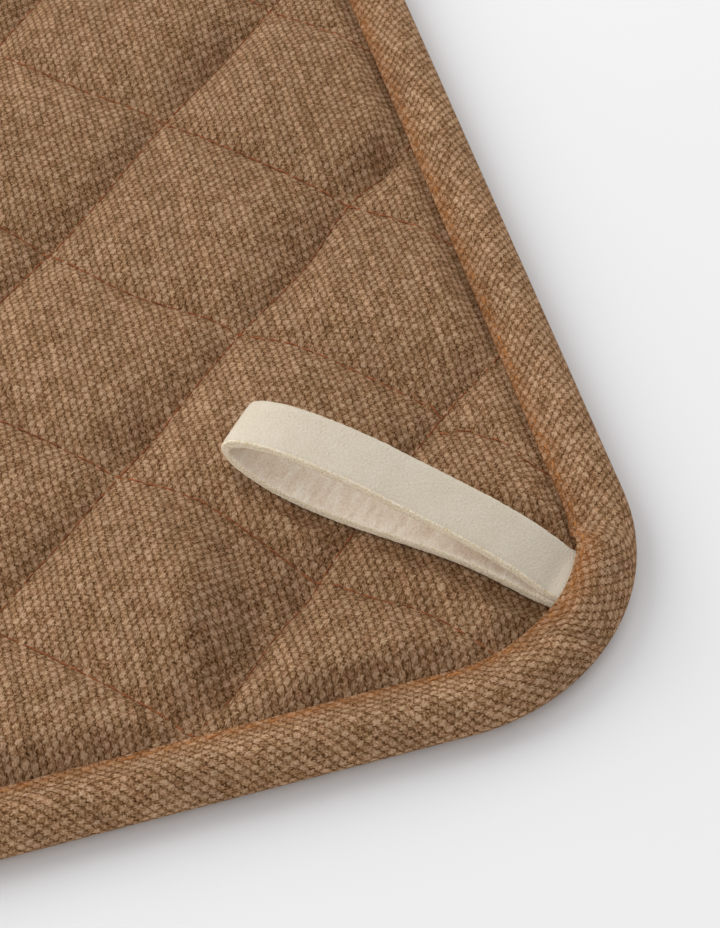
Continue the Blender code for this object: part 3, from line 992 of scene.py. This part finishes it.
def loose_height(tree, grid):
    """Loose fibres slanting over every yarn, and fluff that closes some of the gaps."""
    slanted = add(tree, "ShaderNodeMapping", {"Vector": grid, "Rotation": (0.0, 0.0, FIBRE_TURN)})
    slanted = add(tree, "ShaderNodeMapping", {"Vector": slanted, "Scale": FIBRE_SIZE})
    fibres = add(tree, "ShaderNodeTexNoise", {"Vector": slanted, "Scale": 1.0, "Detail": 3.0,
                                              "Roughness": 0.7})
    fluff = add(tree, "ShaderNodeTexNoise", {"Vector": grid, "Scale": 0.6, "Detail": 3.0})
    loose = add(tree, MATH, (fibres, FIBRE_HEIGHT, -FIBRE_HEIGHT / 2),
                operation="MULTIPLY_ADD")
    loose = add(tree, MATH, (fluff, FLUFF_HEIGHT, loose), operation="MULTIPLY_ADD")
    return add(tree, MATH, (loose, SUNK), operation="SUBTRACT")


# %% The canvas recipe: an orange tint on the fold
FOLD_TINT = "a45c20"
FOLD_TINT_REACH = 3.2                        # mm to each side of the fold
FOLD_TINT_SHARE = 0.75                       # at the fold itself


def orange_tint_on_fold(tree, cloth, at, fold_at):
    """A patchy orange tint along the strip's fold."""
    across = add(tree, "ShaderNodeSeparateXYZ", (at,)).outputs[1]
    off = add(tree, MATH, (across, fold_at * MM), operation="SUBTRACT")
    off = add(tree, MATH, (off,), operation="ABSOLUTE")
    near = add(tree, MATH, (off, -FOLD_TINT_SHARE / (FOLD_TINT_REACH * MM), FOLD_TINT_SHARE),
               operation="MULTIPLY_ADD", use_clamp=True)
    patches = add(tree, "ShaderNodeTexNoise", {"Vector": at, "Scale": 700.0, "Detail": 2.0})
    amount = add(tree, MATH, (near, patches), operation="MULTIPLY")
    return add(tree, "ShaderNodeMix", (amount, cloth, linear(FOLD_TINT)), data_type="RGBA")


# %% The canvas recipe: colour
WEAVE_RELIEF = 0.22                     # mm from gap to float
CAST_SHARE = 0.4                        # how much of a float's colour is its own
SHADE = 0.72                            # of the darkest yarns in the darkest clouds
CLOUD_SHADE = 0.30                      # how much paler the palest clouds are
YARN_SHADE = 0.16                       # and the palest yarns
# matt, for the fibres scatter light: a faint warm bloom is all that shines
CANVAS_SURFACE = {"Roughness": 0.92, "Specular IOR Level": 0.08, "Sheen Weight": 0.08,
                  "Sheen Roughness": 0.5, "Sheen Tint": linear("d8ac80")}
CANVAS_STOPS_WITH_PAINTED_SHADE = (
    # share of height, colour: the cloth's own browns, made darker in the gaps as painted shade
    # and paler on the floats' tops as a painted highlight
    (0.02, "55361c"),
    (0.30, "8e6844"),
    (0.54, "b18b67"),
    (0.95, "d6b697"),
)
CAST_STOPS = (
    # own number, colour
    (0.0, "7e8474"),
    (0.5, "828280"),
    (1.0, "8e7c78"),
)


def canvas(name, at_socket, turn, paler=0.0, fold_at=None):
    """Coarse cotton canvas. at_socket gives the coordinates in metres, turn is the warp's angle."""
    mat, tree, shader = new_material(name)
    at = at_socket(tree)
    grid, across, along, own, yarn = find_float(tree, at, turn)
    size, tint, _ = add(tree, "ShaderNodeSeparateColor", (own,)).outputs
    body = add(tree, MATH, (float_height(tree, across, along, size),
                                        loose_height(tree, grid)), operation="ADD")

    # painted shade in the gaps, the yarn's own body and a painted highlight on its top, then
    # the cast of each float and each yarn
    cloth = add(tree, "ShaderNodeValToRGB", (body,), stops=CANVAS_STOPS_WITH_PAINTED_SHADE)
    cast = add(tree, "ShaderNodeValToRGB", (tint,), stops=CAST_STOPS)
    cloth = add(tree, "ShaderNodeMix", (CAST_SHARE, cloth, cast), data_type="RGBA",
                blend_type="SOFT_LIGHT")
    clouds = add(tree, "ShaderNodeTexNoise", {"Vector": at, "Scale": 60.0, "Detail": 3.0})
    # paler lightens the whole cloth: painted light
    shade = add(tree, MATH, (clouds, CLOUD_SHADE, SHADE + paler),
                operation="MULTIPLY_ADD")
    shade = add(tree, MATH, (yarn, YARN_SHADE, shade), operation="MULTIPLY_ADD")
    cloth = add(tree, "ShaderNodeMix", (1.0, cloth, shade), data_type="RGBA", blend_type="MULTIPLY")
    if fold_at:
        cloth = orange_tint_on_fold(tree, cloth, at, fold_at)
    dress(tree, shader, cloth, CANVAS_SURFACE, body, WEAVE_RELIEF)
    return mat


def place_in_object(tree):
    return add(tree, "ShaderNodeTexCoord").outputs["Object"]


def place_on_strip(tree):
    return add(tree, "ShaderNodeUVMap", uv_map="strip").outputs["UV"]


hem_length = far_along(strip_road(0.0, 0.0)[:HEM_ROWS_TOP + 2])[-1]
panel.data.materials.append(canvas("cotton_canvas_on_the_panel", place_in_object, 0.0))
# the strip is the panel's canvas made paler: painted light for the extra light its raised roll
# catches
binding.data.materials.append(canvas("cotton_canvas_on_the_bias", place_on_strip,
                                     math.radians(-45.0), paler=0.09, fold_at=hem_length))
print("the strip turns", hem_length.round(1), "mm from its hidden edge")
print("canvas has", round(1 / COLUMN, 2), "columns and", round(2 / FLOAT, 2), "rows to the mm")

# %% [markdown]
# ## Leather
#
# The strap is chrome-tanned side leather with a cream finish sprayed on its grain side. Close up
# the grain is a fine soft pebble, about a third of a millimetre, so it is mostly a slight break in
# the light. The cut edge is raw: pale fibres packed on end, rough. The suede side has nap, which
# lies in streaks across the strap and goes darker inside the fold.

# %% Finish the strap
def strap_finish(name, patterns, relief, roughness, gloss, sheen=0.0):
    """Leather from layers of noise: the first gives the colour, the rest are multiplied on."""
    mat, tree, shader = new_material(name)
    raw = add(tree, "ShaderNodeUVMap", uv_map="strap")
    colour, height = None, 0.0
    for along, around, detail, share, stops in patterns:
        scale = (along / MM, around / MM, 1.0)
        at = add(tree, "ShaderNodeMapping", {"Vector": raw, "Scale": scale})
        noise = add(tree, "ShaderNodeTexNoise", {"Vector": at, "Scale": 1.0, "Detail": detail,
                                                 "Roughness": 0.65})
        layer = add(tree, "ShaderNodeValToRGB", (noise,), stops=stops)
        colour = layer if colour is None else add(tree, "ShaderNodeMix", (1.0, colour, layer),
                                                  data_type="RGBA", blend_type="MULTIPLY")
        height = add(tree, MATH, (noise, share, height), operation="MULTIPLY_ADD")
    dress(tree, shader, colour, {"Roughness": roughness, "Specular IOR Level": gloss,
                                 "Sheen Weight": sheen}, height, relief)
    return mat


strap.data.materials.append(strap_finish("cream_finished_grain", (
    # waves to the mm along and around, detail, share of the relief, colours
    (0.20, 0.20, 3.0, 0.0, ((0.3, "d6cab5"), (0.7, "ddd2bf"))),
    (2.6, 2.6, 2.0, 1.0, ((0.32, "f4f0ea"), (0.6, "ffffff"))),
), relief=0.20, roughness=0.5, gloss=0.35))
strap.data.materials.append(strap_finish("raw_cut_edge", (
    (0.30, 0.30, 2.0, 0.0, ((0.3, "f8f0de"), (0.7, "fff8ea"))),
    (3.4, 2.6, 3.0, 1.0, ((0.38, "d8c498"), (0.46, "f6eee0"), (0.7, "ffffff"))),
), relief=0.20, roughness=0.95, gloss=0.1))
strap.data.materials.append(strap_finish("napped_suede_side", (
    (0.60, 0.20, 2.0, 1.4, ((0.30, "e8d8c4"), (0.5, "f4e8d8"), (0.70, "fcf6e8"))),
    (3.2, 2.2, 3.0, 0.4, ((0.32, "eae2d6"), (0.6, "ffffff"))),
), relief=0.24, roughness=1.0, gloss=0.05, sheen=0.3))
print("strap finishes:", ", ".join(m.name for m in strap.data.materials))

# %% [markdown]
# Two threads were used: a thin rust one that sinks into the quilting, and a thicker orange one that
# shows along the binding. Now that both the seams and the colours exist, the stitches are made.

# %% Sew
def spun_thread(name, dark, light):
    """Polyester core-spun sewing thread: mottled by its twist, and only a little glossy."""
    mat, tree, shader = new_material(name)
    mottle = add(tree, "ShaderNodeTexNoise", {"Vector": place_in_object(tree), "Scale": 1500.0,
                                              "Detail": 2.0})
    colour = add(tree, "ShaderNodeValToRGB", (mottle,), stops=((0.35, dark), (0.65, light)))
    dress(tree, shader, colour, {"Roughness": 0.7, "Specular IOR Level": 0.2})
    return mat


LIFT_ON_FACE = 0.19             # mm from the cloth to the thread's middle
LIFT_UNDERNEATH = -0.05
rust = spun_thread("rust_quilting_thread", "6e3a1c", "a8643a")
orange = spun_thread("orange_brown_topstitch_thread", "8c5424", "b87c44")
# seed, then the sizes in the order of STITCH_SIZES
sew("quilting_thread_on_the_face", seam_runs(face_height, LIFT_ON_FACE), rust,
    3, 3.1, 3.0, 0.15, 0.28, 0.12)
sew("quilting_thread_underneath", seam_runs(back_height, LIFT_UNDERNEATH), rust,
    9, 2.9, 2.7, 0.11, -0.35, -0.1)
sew("topstitch_on_the_binding", topstitch_run(), orange,
    5, STITCH_PITCH, 2.8, 0.24, 0.45, 0.20)

# %% [markdown]
# ## Camera, floor and light
#
# The camera's place was solved from the picture: the straight edges of the binding give the
# vanishing points, and the round corner fixes the distance. The light in the picture is soft and
# comes from the far left: each diamond is bright just past a seam and shaded before the next one.
# One large softbox there and an even pale surrounding give that, with a soft shadow at the near
# edge. A white card on the left reaches the inside of the strap, and one on the right opens the
# shadow beside the binding, which in the picture is grey and not black. The view is set to
# Standard, so that a colour picked from the picture comes out as it was picked.

# %% Camera
CAMERA_AT = (13.35, -307.76, 319.96)            # mm
CAMERA_AZIMUTH = math.radians(-11.728)
CAMERA_ELEVATION = math.radians(50.309)
CAMERA_ROLL = math.radians(-4.792)
LENS = 99.35                                    # mm
FRAME_HEIGHT = 36.0                             # mm

lens = bpy.data.cameras.new("camera")
lens.sensor_fit = "VERTICAL"
lens.sensor_height = FRAME_HEIGHT
lens.lens = LENS
lens.clip_start = 0.01
camera = put("camera", lens)
back = Vector((math.sin(CAMERA_AZIMUTH) * math.cos(CAMERA_ELEVATION),
               -math.cos(CAMERA_AZIMUTH) * math.cos(CAMERA_ELEVATION),
               math.sin(CAMERA_ELEVATION)))
right = (-back).cross(Vector((0, 0, 1))).normalized()
upward = right.cross(-back)
turned_right = right * math.cos(CAMERA_ROLL) + upward * math.sin(CAMERA_ROLL)
turned_up = upward * math.cos(CAMERA_ROLL) - right * math.sin(CAMERA_ROLL)
turn = Matrix((turned_right, turned_up, back)).transposed().to_4x4()
camera.matrix_world = Matrix.Translation(Vector(CAMERA_AT) * MM) @ turn
bpy.context.scene.camera = camera
print("camera at", [round(c, 3) for c in camera.location])

# %% Floor and light
FLOOR_HALF = 3.0                # m
LIGHTS = (
    # name, azimuth from +X towards +Y and elevation in degrees, distance and size in m, power in W
    ("window_at_the_back_left", 138, 33, 1.2, 1.2, 11.3),
    ("white_card_at_the_left", -140, 22, 1.2, 1.0, 2.8),
    ("white_card_at_the_right", 40, 24, 1.2, 1.0, 4.1),
)


def softbox(name, azimuth, elevation, distance, size, power):
    """A round soft light that looks at the holder."""
    azimuth, elevation = math.radians(azimuth), math.radians(elevation)
    light = bpy.data.lights.new(name, "AREA")
    light.shape = "DISK"
    light.size = size
    light.energy = power
    obj = put(name, light)
    obj.location = distance * Vector((math.cos(azimuth) * math.cos(elevation),
                                      math.sin(azimuth) * math.cos(elevation), math.sin(elevation)))
    obj.rotation_euler = obj.location.to_track_quat("Z", "Y").to_euler()


floor_mesh = bpy.data.meshes.new("pale_floor")
corners = [(x * FLOOR_HALF, y * FLOOR_HALF, 0) for x, y in ((-1, -1), (1, -1), (1, 1), (-1, 1))]
floor_mesh.from_pydata(corners, [], [(0, 1, 2, 3)])
floor = put("pale_floor", floor_mesh)
paper, _, paper_shader = new_material("matt_white_paper")
paper_shader.inputs["Base Color"].default_value = linear("f0f0f0")
paper_shader.inputs["Roughness"].default_value = 0.9
floor_mesh.materials.append(paper)

for row in LIGHTS:
    softbox(*row)
world = bpy.data.worlds.new("soft_surroundings")
world.use_nodes = True
bpy.context.scene.world = world
sky = world.node_tree.nodes["Background"]
sky.inputs["Color"].default_value = linear("fdfdff")
sky.inputs["Strength"].default_value = 0.56
bpy.context.scene.view_settings.view_transform = "Standard"
print("one softbox, two cards and an even surrounding")
